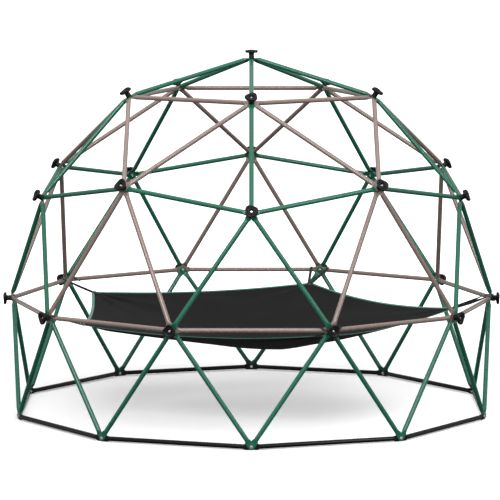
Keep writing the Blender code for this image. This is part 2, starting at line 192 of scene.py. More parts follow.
# ---- materials ------------------------------------------------------------
class Nodes:
    """A Principled material and short ways to add nodes to it."""

    def __init__(self, name, colour, roughness, metallic=0.0):
        self.mat = bpy.data.materials.new(name)
        self.mat.use_nodes = True
        self.tree = self.mat.node_tree
        self.shader = self.tree.nodes["Principled BSDF"]
        self.set(self.shader, Base_Color=(*colour, 1), Roughness=roughness, Metallic=metallic)
        self.mat.diffuse_color = (*colour, 1)

    def set(self, node, **values):
        for key, value in values.items():
            node.inputs[key.replace("_", " ")].default_value = value
        return node

    def add(self, kind, inputs=None, **settings):
        node = self.tree.nodes.new("ShaderNode" + kind)
        for key, value in settings.items():
            setattr(node, key, value)
        for key, value in (inputs or {}).items():
            if hasattr(value, "is_output"):
                self.tree.links.new(value, node.inputs[key])
            else:
                node.inputs[key].default_value = value
        return node

    def link(self, source, target):
        self.tree.links.new(source, self.shader.inputs[target])

    def coords(self, kind="Object"):
        return self.add("TexCoord").outputs[kind]

    def noise(self, scale, detail=3.0, rough=0.5, vector=None):
        return self.add("TexNoise", {"Vector": vector or self.coords(), "Scale": scale,
                                     "Detail": detail, "Roughness": rough}).outputs["Fac"]

    def ramp(self, fac, low, high, start=0.3, end=0.7):
        """Map a 0 to 1 value to a colour or number range."""
        if isinstance(low, tuple):
            node = self.add("ValToRGB", {"Fac": fac})
            node.color_ramp.elements[0].position = start
            node.color_ramp.elements[1].position = end
            node.color_ramp.elements[0].color = (*low, 1)
            node.color_ramp.elements[1].color = (*high, 1)
            return node.outputs["Color"]
        return self.add("MapRange", {"Value": fac, "From Min": start, "From Max": end,
                                     "To Min": low, "To Max": high}).outputs["Result"]

    def mix(self, fac, a, b, blend="MIX"):
        node = self.add("Mix", data_type='RGBA', blend_type=blend)
        for key, value in (("Factor", fac), ("A", a), ("B", b)):
            socket = [s for s in node.inputs if s.name == key and s.enabled][0]
            if hasattr(value, "is_output"):
                self.tree.links.new(value, socket)
            else:
                socket.default_value = (*value, 1) if isinstance(value, tuple) else value
        return [s for s in node.outputs if s.enabled][0]

    def bump(self, height, strength, distance, under=None):
        inputs = {"Height": height, "Strength": strength, "Distance": distance}
        if under:
            inputs["Normal"] = under
        return self.add("Bump", inputs).outputs["Normal"]


def scaled(colour, factor):
    return tuple(min(1.0, c * factor) for c in colour)


def powder_coat(name, colour, roughness, coat, specular=0.50):
    """Sprayed and baked coat: orange peel, faint tone drift, dust and small scuffs."""
    n = Nodes(name, colour, roughness)
    drift = n.ramp(n.noise(1.7, 4.0), scaled(colour, 0.90), scaled(colour, 1.10))
    scuffs = n.ramp(n.noise(38.0, 8.0, 0.72), 0.0, 1.0, 0.66, 0.80)
    colour_out = n.mix(scuffs, drift, scaled(colour, 1.35))
    n.link(colour_out, "Base Color")
    n.link(n.ramp(n.noise(26.0, 5.0, 0.6), roughness - 0.05, roughness + 0.10), "Roughness")
    peel = n.bump(n.noise(620.0, 2.0), 0.10, 0.0006)
    n.link(n.bump(scuffs, 0.12, 0.0002, peel), "Normal")
    n.set(n.shader, Coat_Weight=coat, Coat_Roughness=0.16, Specular_IOR_Level=specular)
    return n.mat


def moulded(name, colour):
    """Spark-eroded moulded nylon with faint flow marks."""
    n = Nodes(name, colour, 0.46)
    n.link(n.ramp(n.noise(55.0, 5.0, 0.65), scaled(colour, 0.75), scaled(colour, 1.6)),
           "Base Color")
    n.link(n.ramp(n.noise(30.0, 4.0), 0.38, 0.56), "Roughness")
    grain = n.bump(n.noise(1500.0, 2.0, 0.7), 0.35, 0.0004)
    n.link(n.bump(n.noise(140.0, 2.0), 0.10, 0.0008, grain), "Normal")
    n.set(n.shader, Specular_IOR_Level=0.30)
    return n.mat


def zinc(name):
    """Bright zinc plate with fine crystal tone changes."""
    n = Nodes(name, (0.78, 0.79, 0.80), 0.24, 1.0)
    n.link(n.ramp(n.noise(420.0, 4.0, 0.6), (0.66, 0.67, 0.68), (0.88, 0.88, 0.87)),
           "Base Color")
    n.link(n.ramp(n.noise(210.0, 3.0), 0.18, 0.34), "Roughness")
    n.link(n.bump(n.noise(900.0, 3.0), 0.12, 0.0003), "Normal")
    return n.mat


def woven(name, colour, period, rough=0.86, sheen=0.25, kind="Object", lift=0.0006):
    """Plain weave: two crossed sets of yarns, thick and thin, with soft wear."""
    n = Nodes(name, colour, rough)
    where = n.coords(kind)
    scale = 0.3142 / period
    warp = n.add("TexWave", {"Vector": where, "Scale": scale, "Distortion": 0.6,
                             "Detail": 1.0, "Detail Scale": 2.0},
                 bands_direction='X').outputs["Fac"]
    weft = n.add("TexWave", {"Vector": where, "Scale": scale, "Distortion": 0.6,
                             "Detail": 1.0, "Detail Scale": 2.0},
                 bands_direction='Y').outputs["Fac"]
    cloth = n.add("Math", {0: warp, 1: weft}, operation='MULTIPLY').outputs[0]
    slub = n.noise(210.0, 3.0, 0.7, where)
    height = n.add("Math", {0: cloth, 1: slub}, operation='ADD').outputs[0]
    wear = n.noise(3.2, 5.0, 0.6)
    tone = n.mix(n.ramp(cloth, 0.0, 1.0, 0.1, 0.9), scaled(colour, 0.70), scaled(colour, 1.35))
    n.link(n.mix(n.ramp(wear, 0.0, 0.45), tone, scaled(colour, 1.5)), "Base Color")
    n.link(n.ramp(slub, rough - 0.06, rough + 0.06), "Roughness")
    n.link(n.bump(height, 0.45, lift), "Normal")
    n.set(n.shader, Sheen_Weight=sheen, Sheen_Roughness=0.45, Specular_IOR_Level=0.20)
    return n.mat


GREEN = powder_coat("powder_coat_green", (0.005, 0.124, 0.070), 0.27, 0.30)
TAUPE = powder_coat("powder_coat_taupe", (0.232, 0.166, 0.150), 0.23, 0.50)
BLACK = powder_coat("powder_coat_black", (0.0022, 0.0022, 0.0022), 0.18, 0.10, 0.30)
PLASTIC = moulded("moulded_black", (0.0035, 0.0035, 0.0038))
ZINC = zinc("bright_zinc")
CLOTH = woven("seat_weave", (0.0050, 0.0050, 0.0052), 0.0026, 0.90, 0.02)
TAPE = woven("edge_tape", (0.066, 0.235, 0.175), 0.0016, 0.78, 0.2, "UV", 0.0004)
WEBBING = woven("webbing", (0.0045, 0.0045, 0.0050), 0.0020, 0.78, 0.2, "UV", 0.0006)
THREAD = woven("thread_black", (0.020, 0.020, 0.021), 0.0008, 0.7, 0.3)


# ---- camera, sky, floor and lights ----------------------------------------
def build_camera():
    scene = bpy.context.scene
    camera = bpy.data.objects.new("camera", bpy.data.cameras.new("camera"))
    scene.collection.objects.link(camera)
    camera.location = CAMERA_AT
    camera.rotation_euler = (math.radians(90 - CAMERA_DIP), 0, 0)
    camera.data.sensor_width = 36
    camera.data.lens = CAMERA_LENS
    camera.data.shift_x = CAMERA_SHIFT
    camera.data.clip_end = 1000
    scene.camera = camera
    scene.view_settings.view_transform = 'Standard'
    scene.view_settings.look = 'None'


def build_sky():
    """Studio walls: white at eye level, so that tubes get a bright line, and dim elsewhere."""
    world = bpy.data.worlds.new("studio")
    world.use_nodes = True
    tree = world.node_tree
    place = tree.nodes.new("ShaderNodeTexCoord")
    split = tree.nodes.new("ShaderNodeSeparateXYZ")
    ramp = tree.nodes.new("ShaderNodeValToRGB")
    height = tree.nodes.new("ShaderNodeMapRange")
    height.inputs["From Min"].default_value = -1
    tree.links.new(place.outputs["Generated"], split.inputs["Vector"])
    tree.links.new(split.outputs["Z"], height.inputs["Value"])
    tree.links.new(height.outputs["Result"], ramp.inputs["Fac"])
    tree.links.new(ramp.outputs["Color"], tree.nodes["Background"].inputs["Color"])
    for position, grey in SKY:
        if position in (0.0, 1.0):
            stop = ramp.color_ramp.elements[int(position)]
        else:
            stop = ramp.color_ramp.elements.new(position)
        stop.color = (grey, grey, grey, 1)
    bpy.context.scene.world = world


def build_floor():
    """White paper with painted light: it gives off light, more under the seat and far out,
    which paints the soft shadow's falloff and keeps the floor white all round.
    """
    shape, h = Shape(), FLOOR_HALF
    shape.add([(-h, -h, 0), (h, -h, 0), (h, h, 0), (-h, h, 0)], [(0, 1, 2, 3)])
    paper = Nodes("floor_paper", (0.80, 0.80, 0.80), 0.9)
    away = paper.add("VectorMath", {0: paper.coords(), 1: (*PAINTED_LIGHT_MIDDLE, 0)},
                     operation='SUBTRACT')
    oval = paper.add("VectorMath", {0: away.outputs["Vector"], 1: (1.0, PAINTED_LIGHT_OVAL, 1.0)},
                     operation='MULTIPLY')
    distance = paper.add("VectorMath", {0: oval.outputs["Vector"]},
                         operation='LENGTH').outputs["Value"]
    # painted light: the emission strength is set by distance from the middle and paints the
    # soft shadow's falloff
    painted_light = paper.add("Math", {0: paper.ramp(distance, *PAINTED_LIGHT_NEAR),
                              1: paper.ramp(distance, *PAINTED_LIGHT_FAR)}, operation='ADD')
    paper.link(painted_light.outputs["Value"], "Emission Strength")
    paper.set(paper.shader, Specular_IOR_Level=0.0, Emission_Color=(1, 1, 1, 1))
    floor = shape.make("floor", paper.mat, 35, outward=False)
    floor.visible_diffuse = False
    floor.visible_glossy = False


def build_light(name, where, aim, size, power, shine=True):
    """Soft box. Without shine it lights the object but isn't mirrored in it."""
    lamp = bpy.data.lights.new(name, 'AREA')
    lamp.shape = 'RECTANGLE'
    lamp.size, lamp.size_y = size
    lamp.energy = power
    obj = bpy.data.objects.new(name, lamp)
    bpy.context.scene.collection.objects.link(obj)
    obj.location = where
    obj.rotation_euler = (Vector(aim) - Vector(where)).to_track_quat('-Z', 'Y').to_euler()
    obj.visible_glossy = shine


def build_stage():
    build_camera()
    build_sky()
    build_floor()
    build_light("top", (1.4, -1.4, 8.0), (0, 0, 1.0), (14, 11), 470, False)
    build_light("key", (-1.5, -9.0, 7.0), (0, 0, 1.2), (7, 3), 560)
    build_light("fill", (7.0, -8.0, 5.5), (0, 0, 1.2), (2, 4), 140)
    build_light("rim", (0.0, 9.0, 6.5), (0, 0, 1.2), (6, 2), 100, False)


# ---- hubs and struts ------------------------------------------------------
def build_hubs():
    """Position and outward normal of every joint, by name."""
    centre = np.array((0, 0, CENTRE_Z))
    low, high = math.sin(math.radians(CAP_TILT)), math.cos(math.radians(CAP_TILT))
    hubs = {"crown": (centre + (0, 0, RADIUS), np.array((0, 0, 1.0)))}

    def sphere_hub(name, radius, azimuth, height):
        normal = unit(polar(radius, azimuth, height))
        hubs["%s_%d" % (name, azimuth % 360)] = (centre + normal * RADIUS, normal)

    for i in range(5):
        sphere_hub("upper", low, 72 * i, high)
        sphere_hub("shoulder", 2 / math.sqrt(5), 72 * i, 1 / math.sqrt(5))
        sphere_hub("shoulder", high, 72 * i + 36, low)
    for i in range(10):
        sphere_hub("waist", 1.0, 36 * i + 18, 0.0)
        hubs["foot_%d" % (36 * i)] = (polar(FOOT_RADIUS, 36 * i, TAB_HALF), polar(1.0, 36 * i))
    return hubs


HUBS = build_hubs()


def ring(name, azimuth):
    return "%s_%d" % (name, azimuth % 360)


def spans():
    """Every tube: piece name, material, CAD nodes, and its two hubs, by course."""
    fives = [72 * i for i in range(5)]
    tens = [36 * i for i in range(10)]
    table = [
        ("base_rails", BLACK, ["base_ring"],
         [(ring("foot", a), ring("foot", a + 36)) for a in tens]),
        ("waist_rails", TAUPE, ["waist_ring"],
         [(ring("waist", a + 18), ring("waist", a + 54)) for a in tens]),
        ("shoulder_rails", GREEN, ["shoulder_ring"],
         [(ring("shoulder", a), ring("shoulder", a + 36)) for a in tens]),
        ("upper_diagonal_tubes", TAUPE, ["upper_diagonals"],
         [(ring("upper", a), ring("shoulder", a + s * 36)) for a in fives for s in (1, -1)]),
        ("crown_ring_rails", TAUPE, ["crown_ring"],
         [(ring("upper", a), ring("upper", a + 72)) for a in fives]),
        ("crown_rib_tubes", GREEN, ["crown_ribs"],
         [("crown", ring("upper", a)) for a in fives]
         + [(ring("upper", a), ring("shoulder", a)) for a in fives]),
    ]
    for i, a in enumerate(tens):
        table.append(("leg_tubes_%02d" % (i + 1), GREEN, ["leg_pair_%02d" % (i + 1)],
                      [(ring("foot", a), ring("waist", a + s * 18)) for s in (1, -1)]))
    for i, a in enumerate(fives):
        table.append(("shoulder_green_tubes_%d" % (i + 1), GREEN,
                      ["shoulder_green_pair_%02d" % (i + 1)],
                      [(ring("shoulder", a), ring("waist", a + s * 18)) for s in (1, -1)]))
        table.append(("shoulder_taupe_tubes_%d" % (i + 1), TAUPE,
                      ["shoulder_brown_pair_%02d" % (i + 1)],
                      [(ring("shoulder", a + 36), ring("waist", a + 36 + s * 18))
                       for s in (1, -1)]))
    return table


# courses from the inside of a stack to the outside, for each kind of hub
ORDER = {"crown": ["crown_rib_tubes"],
         "upper": ["crown_ring_rails", "upper_diagonal_tubes", "crown_rib_tubes"],
         "shoulder": ["shoulder_taupe_tubes", "shoulder_green_tubes", "shoulder_rails",
                      "upper_diagonal_tubes", "crown_rib_tubes"],
         "waist": ["leg_tubes", "waist_rails", "shoulder_taupe_tubes",
                   "shoulder_green_tubes"],
         "foot": ["base_rails", "leg_tubes"]}


def stack_levels(table):
    """Place of every tube end in its hub's stack, and each hub's stack height."""
    at_hub = {hub: [] for hub in HUBS}
    for name, _, _, pairs in table:
        for pair in pairs:
            for end in (0, 1):
                hub = pair[end]
                order = ORDER[hub.split("_")[0]]
                rank = [i for i, o in enumerate(order) if name.startswith(o)][0]
                at_hub[hub].append((rank, pair, end))
    lifts, half = {}, {}
    for hub, ends in at_hub.items():
        ends.sort(key=lambda e: (e[0], e[1]))
        for i, (_, pair, end) in enumerate(ends):
            lifts[(pair, end)] = (i - (len(ends) - 1) / 2) * STACK_PITCH
        half[hub] = (len(ends) - 1) / 2 * STACK_PITCH + TAB_T / 2
    return lifts, half


TABLE = spans()
LIFTS, STACK_HALF = stack_levels(TABLE)


def end_frame(pair, end):
    """Bolt centre of a tube end, the hub's normal, the end's run and its side."""
    position, normal = HUBS[pair[end]]
    towards = HUBS[pair[1 - end]][0] - position
    run = unit(towards - normal * towards.dot(normal))
    return position + normal * LIFTS[(pair, end)], normal, run, np.cross(normal, run)


# distance from the bolt, width factor of the rounded tip
TIP = ((-0.0210, 0.34), (-0.0203, 0.50), (-0.0185, 0.64), (-0.0155, 0.77),
       (-0.0110, 0.89), (-0.0055, 0.97), (0.0, 1.0))
FLARE_START, FLARE_END = 0.030, 0.068


def half_tube(pair, end, bend_other):
    """Rows of points from a flattened end out to the round tube."""
    centre, normal, run, side = end_frame(pair, end)
    bend = centre + run * TAB_LENGTH
    along = unit(bend_other - bend)
    stations = list(TIP) + [(0.016, 1.0)]
    stations += [(FLARE_START + (FLARE_END - FLARE_START) * k / 13, 1.0) for k in range(14)]
    turns = np.arange(TUBE_SIDES) * math.tau / TUBE_SIDES
    cos, sin = np.cos(turns), np.sin(turns)
    rows = []
    reach = 0.013
    for x, tip in stations:
        # centre line, with a small radius at the bend
        if x < TAB_LENGTH - reach:
            point, heading = centre + run * x, run
        elif x > TAB_LENGTH + reach:
            point, heading = bend + along * (x - TAB_LENGTH), along
        else:
            t = (x - TAB_LENGTH + reach) / (2 * reach)
            start, stop = bend - run * reach, bend + along * reach
            point = start * (1 - t) ** 2 + bend * 2 * t * (1 - t) + stop * t * t
            heading = unit(run * (1 - t) + along * t)
        across = unit(side - heading * side.dot(heading))
        lift = np.cross(across, heading)
        if lift.dot(normal) < 0:
            lift = -lift
        flat = 1 - smooth(x, FLARE_START, FLARE_END)
        wide = (TUBE_R + (TAB_HALF - TUBE_R) * smooth(flat, 0.0, 0.8)) * tip
        thick = TUBE_R * (1 - flat) + TAB_T / 2 * flat
        power = 2 / (2 + 2.2 * flat)
        u = np.sign(cos) * np.abs(cos) ** power * wide
        v = np.sign(sin) * np.abs(sin) ** power * thick
        # the press leaves a shallow hollow up the middle of each flare
        hollow = 0.34 * np.sin(math.pi * np.clip(flat, 0, 1)) ** 1.5
        v = v * (1 - hollow * np.exp(-(u / (0.42 * wide)) ** 2))
        drop = lift * TAB_RISE * smooth(x, FLARE_START, FLARE_END)
        rows.append(point - drop + np.outer(u, across) + np.outer(v, lift))
    return rows


def add_tube(shape, pair):
    bends = []
    for end in (0, 1):
        centre, _, run, _ = end_frame(pair, end)
        bends.append(centre + run * TAB_LENGTH)
    near = half_tube(pair, 0, bends[1])
    far = half_tube(pair, 1, bends[0])
    # the far end's rows run the other way round: match them to the near ones
    last, first = near[-1], far[-1]
    best = None
    for flip in (1, -1):
        order = np.arange(TUBE_SIDES)[::flip]
        for shift in range(TUBE_SIDES):
            index = np.roll(order, shift)
            gap = np.sum((first[index] - last - (first.mean(0) - last.mean(0))) ** 2)
            if best is None or gap < best[0]:
                best = (gap, index)
    rows = near + [row[best[1]] for row in reversed(far)]
    shape.rows(rows, caps=(True, True))


def build_tubes():
    for name, material, nodes, pairs in TABLE:
        shape = Shape()
        for pair in pairs:
            add_tube(shape, pair)
        attach(shape.make(name, material, 50), "frame", nodes)


# ---- turned and lobed hardware -------------------------------------------
def hub_axes(hub):
    """Middle of a hub, with X up the dome, Y across it and Z outward."""
    position, normal = HUBS[hub]
    up = np.array((0, 0, 1.0)) if hub != "crown" else np.array((0, -1.0, 0))
    x = unit(up - normal * up.dot(normal))
    return position, np.array((x, np.cross(normal, x), normal))


def hexagon(turns, apothem):
    part = (turns + math.pi / 6) % (math.pi / 3) - math.pi / 6
    return apothem / np.cos(part)


def add_turned(shape, hub, profile, count, spin=0.0):
    """Turn (radius, height, form) rows about a hub's bolt line."""
    position, axes = hub_axes(hub)
    turns = np.arange(count) * math.tau / count
    lobe = 0.5 + 0.5 * np.cos(3 * (turns - math.radians(60)))
    rows = []
    for radius, height, form in profile:
        if form == "hex":
            reach = hexagon(turns, radius)
        elif isinstance(form, tuple):       # hexagon cut back by a cone
            reach = np.minimum(hexagon(turns, radius), form[0])
        elif isinstance(form, float):       # three lobes, form is their strength
            reach = radius * (1 - form * (1 - lobe ** 0.85))
        else:
            reach = np.full(count, radius)
        lift = height
        if isinstance(form, float):
            lift = height + LOBE_CURL * (lobe - 0.5) * (radius / GRIP_RIM) ** 2
        angle = turns + math.radians(spin)
        local = np.stack([reach * np.cos(angle), reach * np.sin(angle),
                          np.broadcast_to(lift, reach.shape)], 1)
        rows.append(position + local @ axes)
    shape.rows(rows, caps=(True, True))


# radius, height and strength of the lobes, from the base round to the bolt well
GRIP_PROFILE = (
    # base on the tubes, stem and flare
    (0.0060, 0.0000, 0), (0.0198, 0.0000, 0), (0.0208, 0.0009, 0), (0.0209, 0.0080, 0),
    (0.0203, 0.0150, 0), (0.0198, 0.0220, 0), (0.0199, 0.0280, 0.02),
    (0.0208, 0.0330, 0.05), (0.0232, 0.0372, 0.08), (0.0278, 0.0402, 0.11),
    (0.0330, 0.0411, 0.14), (0.0376, 0.0403, 0.16), (0.0415, 0.0391, 0.16),
    # thick rounded rim
    (0.0452, 0.0394, 0.16), (0.0481, 0.0421, 0.16), (0.0499, 0.0459, 0.16),
    (0.0506, 0.0500, 0.16), (0.0501, 0.0541, 0.16), (0.0485, 0.0574, 0.16),
    (0.0457, 0.0598, 0.16), (0.0420, 0.0607, 0.16),
    # dished face, raised ring and bolt well
    (0.0383, 0.0598, 0.15), (0.0345, 0.0578, 0.13), (0.0308, 0.0557, 0.09),
    (0.0276, 0.0546, 0.04), (0.0256, 0.0547, 0), (0.0248, 0.0559, 0), (0.0238, 0.0565, 0),
    (0.0205, 0.0565, 0), (0.0193, 0.0559, 0), (0.0186, 0.0540, 0), (0.0168, 0.0499, 0),
    (0.0140, 0.0470, 0), (0.0128, 0.0459, 0), (0.0125, 0.0427, 0), (0.0060, 0.0427, 0))


def build_grips():
    for family in ("crown", "upper", "shoulder", "waist"):
        shape = Shape()
        names = [hub for hub in HUBS if hub.startswith(family)]
        for hub in names:
            base = STACK_HALF[hub] + 0.0003
            profile = [(r, z + base, form) for r, z, form in GRIP_PROFILE]
            add_turned(shape, hub, profile, 72, GRIP_TURN.get(hub, 0))
        piece = "hand_grip_crown_cap" if family == "crown" else "hand_grips_%s" % family
        attach(shape.make(piece, PLASTIC, 40), "frame",
               ["hand_grip_%s" % hub for hub in names])


def head_rows(base, apothem=0.0065, height=0.0053):
    """Flanged hexagon head with chamfered corners."""
    cone = apothem / math.cos(math.pi / 6)
    return [(0.0030, base, 0), (0.0085, base, 0), (0.0087, base + 0.0006, 0),
            (0.0083, base + 0.0012, 0), (apothem, base + 0.0018, "hex"),
            (apothem, base + height - 0.0008, "hex"),
            (apothem, base + height - 0.0002, (cone * 0.95,)),
            (apothem * 0.93, base + height, 0), (0.0030, base + height - 0.0003, 0)]


def nut_rows(top, apothem=0.0065, height=0.0080):
    """Nut below a washer, facing the inside of the dome, with the bolt's tip."""
    cone = apothem / math.cos(math.pi / 6)
    low = top - height
    return [(0.0030, top, 0), (apothem, top, (cone * 0.96,)), (apothem, top - 0.0006, "hex"),
            (apothem, low + 0.0006, "hex"), (apothem, low, (cone * 0.96,)),
            (0.0044, low - 0.0001, 0), (0.0039, low - 0.0002, 0), (0.0039, low - 0.0022, 0),
            (0.0033, low - 0.0028, 0)]


def washer_rows(low, thick=0.0014, radius=0.0115):
    return [(0.0042, low, 0), (radius - 0.0002, low, 0), (radius, low + 0.0003, 0),
            (radius, low + thick - 0.0003, 0), (radius - 0.0002, low + thick, 0),
            (0.0042, low + thick, 0)]


def build_fasteners():
    groups = {"hub_bolts": Shape(), "hub_washers": Shape(), "hub_nuts": Shape(),
              "foot_bolts": Shape(), "foot_washers": Shape(), "foot_nuts": Shape()}
    for index, hub in enumerate(HUBS):
        spin = (index * 37) % 60
        half = STACK_HALF[hub] + 0.0001
        kind = "foot" if hub.startswith("foot") else "hub"
        if kind == "foot":
            add_turned(groups["foot_washers"], hub, washer_rows(half), 40)
            add_turned(groups["foot_bolts"], hub, head_rows(half + 0.0015), 48, spin)
        else:
            add_turned(groups["hub_bolts"], hub, head_rows(half + GRIP_SEAT), 48, spin)
        add_turned(groups[kind + "_washers"], hub, washer_rows(-half - 0.0014), 40)
        add_turned(groups[kind + "_nuts"], hub, nut_rows(-half - 0.0015), 48, spin + 20)
    for name, shape in groups.items():
        attach(shape.make(name, ZINC, 30), "frame")


# ---- hung seat ------------------------------------------------------------
def seat_corner(azimuth):
    return polar(SEAT_R, azimuth, CENTRE_Z - SEAT_DROP)


CORNERS = [seat_corner(a) for a in SEAT_AZIMUTHS]


def seat_edge(azimuth, steps):
    """Points along one bound edge, from a corner to the next one round."""
    start = seat_corner(azimuth) + polar(CORNER_WIDTH / 2, azimuth + 90)
    end = seat_corner(azimuth + 72) - polar(CORNER_WIDTH / 2, azimuth + 162)
    inward = polar(-1.0, azimuth + 36)
    t = np.linspace(0, 1, steps + 1)[:, None]
    bend = 4 * t * (1 - t)
    points = start * (1 - t) + end * t + inward * SEAT_BOW * bend
    points[:, 2] -= SEAT_SAG[azimuth] * bend[:, 0]
    return points


def seat_outline(edge_steps, corner_steps):
    """Closed outline, with the short straight edge at each corner."""
    points = []
    for azimuth in SEAT_AZIMUTHS:
        edge = seat_edge(azimuth, edge_steps)
        points.append(edge)
        after = seat_edge((azimuth + 72) % 360, 1)[0]
        t = np.linspace(0, 1, corner_steps + 1)[1:-1, None]
        points.append(edge[-1] * (1 - t) + after * t)
    return np.concatenate(points)


def seat_wrinkles(points, rho):
    """Small folds: pulled fans at the corners, slack ripples along the edges."""
    lift = np.zeros(len(points))
    for i, corner in enumerate(CORNERS):
        away = points[:, :2] - corner[:2]
        distance = np.hypot(away[:, 0], away[:, 1])
        inward = -unit(corner[:2])
        bearing = np.arctan2(away[:, 0] * inward[1] - away[:, 1] * inward[0],
                             away @ inward)
        fade = smooth(distance, 0.06, 0.20) * np.exp(-distance / 0.34)
        lift += 0.0105 * fade * np.cos(bearing * (9.0 + 0.7 * i) + 1.3 * i)
        lift += 0.0040 * fade * np.cos(bearing * 19.0 + 2.1 * i)
    x, y = points[:, 0], points[:, 1]
    slack = smooth(rho, 0.0, 0.5) * (1 - smooth(rho, 0.86, 1.0))
    lift += 0.0030 * slack * np.sin(x * 7.3 + 1.6 * np.sin(y * 4.1 + 0.4))
    lift += 0.0022 * slack * np.sin(y * 8.9 + 1.2 * np.sin(x * 5.2 + 1.1))
    return lift


def on_sheet(points, outline):
    """The points moved up or down on to the hung sheet."""
    rim, away = outline - SEAT_LOW, points - SEAT_LOW
    bearing = np.arctan2(away[:, 1], away[:, 0])
    rim_bearing = np.arctan2(rim[:, 1], rim[:, 0])
    reach, rise = (np.interp(bearing, rim_bearing, values, period=math.tau)
                   for values in (np.hypot(rim[:, 0], rim[:, 1]), rim[:, 2]))
    rho = np.hypot(away[:, 0], away[:, 1]) / reach
    moved = points.copy()
    moved[:, 2] = SEAT_LOW[2] + rise * rho ** SEAT_POWER
    moved[:, 2] += seat_wrinkles(moved, rho) * (1 - 0.75 * smooth(rho, 0.93, 1.0))
    return moved


def surface_area(rows):
    grid = np.asarray(rows)
    a, b = grid[:-1], grid[1:]
    c, d = np.roll(b, -1, 1), np.roll(a, -1, 1)
    first = np.linalg.norm(np.cross(b - a, c - a), axis=2) / 2
    second = np.linalg.norm(np.cross(c - a, d - a), axis=2) / 2
    return float((first + second).sum())


def build_sheet():
    outline = seat_outline(112, 8)
    rhos = np.concatenate([[0.002], np.linspace(0.03, 0.965, 58), np.linspace(0.97, 1.0, 7)])
    rows = [on_sheet(SEAT_LOW + (outline - SEAT_LOW) * rho, outline) for rho in rhos]
    shape = Shape()
    shape.rows(rows, caps=(True, False))
    obj = shape.make("hammock_fabric", CLOTH, 180)
    ply = obj.modifiers.new("ply", 'SOLIDIFY')
    ply.thickness = SHEET_PLY
    ply.offset = 0
    attach(obj, "hammock", ["hammock_sheet"])
    return obj, surface_area(rows)


def bowl(rim, rho):
    """Points on the bare bowl, a share rho of the way from its low point to the rim."""
    points = SEAT_LOW + (rim - SEAT_LOW) * rho
    points[..., 2] = SEAT_LOW[2] + (rim[..., 2] - SEAT_LOW[2]) * rho ** SEAT_POWER
    return points


def outline_frames(outline):
    """Outward and up directions of the sheet at each point of its edge."""
    run = np.roll(outline, -1, 0) - np.roll(outline, 1, 0)
    run /= np.linalg.norm(run, axis=1)[:, None]
    # follow the slope of the bowl at the rim
    slope = outline - bowl(outline, 0.97)
    slope -= run * np.sum(slope * run, 1)[:, None]
    slope /= np.linalg.norm(slope, axis=1)[:, None]
    up = np.cross(run, slope)
    up *= np.sign(up[:, 2])[:, None]
    return slope, up


def build_binding():
    """Tape folded over the edge, top and underside, with two rows of stitches."""
    outline = seat_outline(160, 10)
    out, up = outline_frames(outline)
    length = run_length(outline)
    inner, fold, turn = -TAPE_WIDTH, TAPE_FOLD, -0.004
    pucker = 0.00035 * np.sin(length * math.tau / 0.021) + 0.00025 * np.sin(length * 171.0)
    # outward from the edge, side of the sheet, and 1 on the tape's outer face
    section = [(inner, 1, 0), (inner + 0.001, 1, 1), (turn, 1, 1), (fold * 0.6, 0.75, 1),
               (fold, 0.0, 1), (fold * 0.6, -0.75, 1), (turn, -1, 1),
               (inner + 0.001, -1, 1), (inner, -1, 0),
               (turn, -1, 0), (-0.0008, 0, 0), (turn, 1, 0)]
    loop = []
    for x, side, outer in section:
        height = side * (SHEET_PLY / 2 + PLY_GAP + (TAPE_PLY + pucker) * outer)
        loop.append(on_sheet(outline + out * x, outline) + up * height[:, None])
    rows = np.stack(loop, 1)
    uvs = np.zeros(rows.shape[:2] + (2,))
    uvs[..., 0] = length[:, None]
    uvs[..., 1] = np.linspace(0, 0.03, rows.shape[1])
    shape = Shape()
    shape.rows(rows, closed_v=True, uvs=uvs)
    tape = shape.make("hammock_edge_tape", TAPE, 60)
    attach(tape, "hammock", ["hammock_binding"])
    stitches = Shape()
    for side in (1, -1):
        for inset, pitch in ((0.0045, 0.0080), (TAPE_WIDTH - 0.0030, 0.0065)):
            add_stitches(stitches, on_sheet(outline - out * inset, outline)
                         + up * side * (SHEET_PLY / 2 + 0.0013), up * side, pitch)
    thread = stitches.make("hammock_edge_stitches", THREAD, 60, outward=False)
    attach(thread, "hammock")
    return tape, thread


def run_length(path):
    """Distance along a path at each of its points."""
    return np.concatenate([[0], np.cumsum(np.linalg.norm(np.diff(path, axis=0), axis=1))])


def add_stitches(shape, path, ups, pitch, radius=0.00035, closed=True):
    """Short raised threads set end to end along a path."""
    if closed:
        path = np.vstack([path, path[:1]])
        ups = np.vstack([ups, ups[:1]])
    along = run_length(path)
    count = int(along[-1] / pitch)
    turns = np.arange(5) * math.tau / 5
    for k in range(count):
        rows = []
        for part, size, rise in ((0.12, 0.4, -0.6), (0.25, 1.0, 0.3), (0.5, 1.1, 0.7),
                                 (0.75, 1.0, 0.3), (0.88, 0.4, -0.6)):
            s = (k + part) * pitch
            point = np.array([np.interp(s, along, path[:, i]) for i in range(3)])
            up = unit(np.array([np.interp(s, along, ups[:, i]) for i in range(3)]))
            index = min(np.searchsorted(along, s), len(path) - 1)
            run = unit(path[index] - path[index - 1])
            side = unit(np.cross(run, up))
            centre = point + up * radius * rise
            rows.append(centre + radius * size * (np.outer(np.cos(turns), side)
                                                  + np.outer(np.sin(turns), up)))
        shape.rows(rows, caps=(True, True))


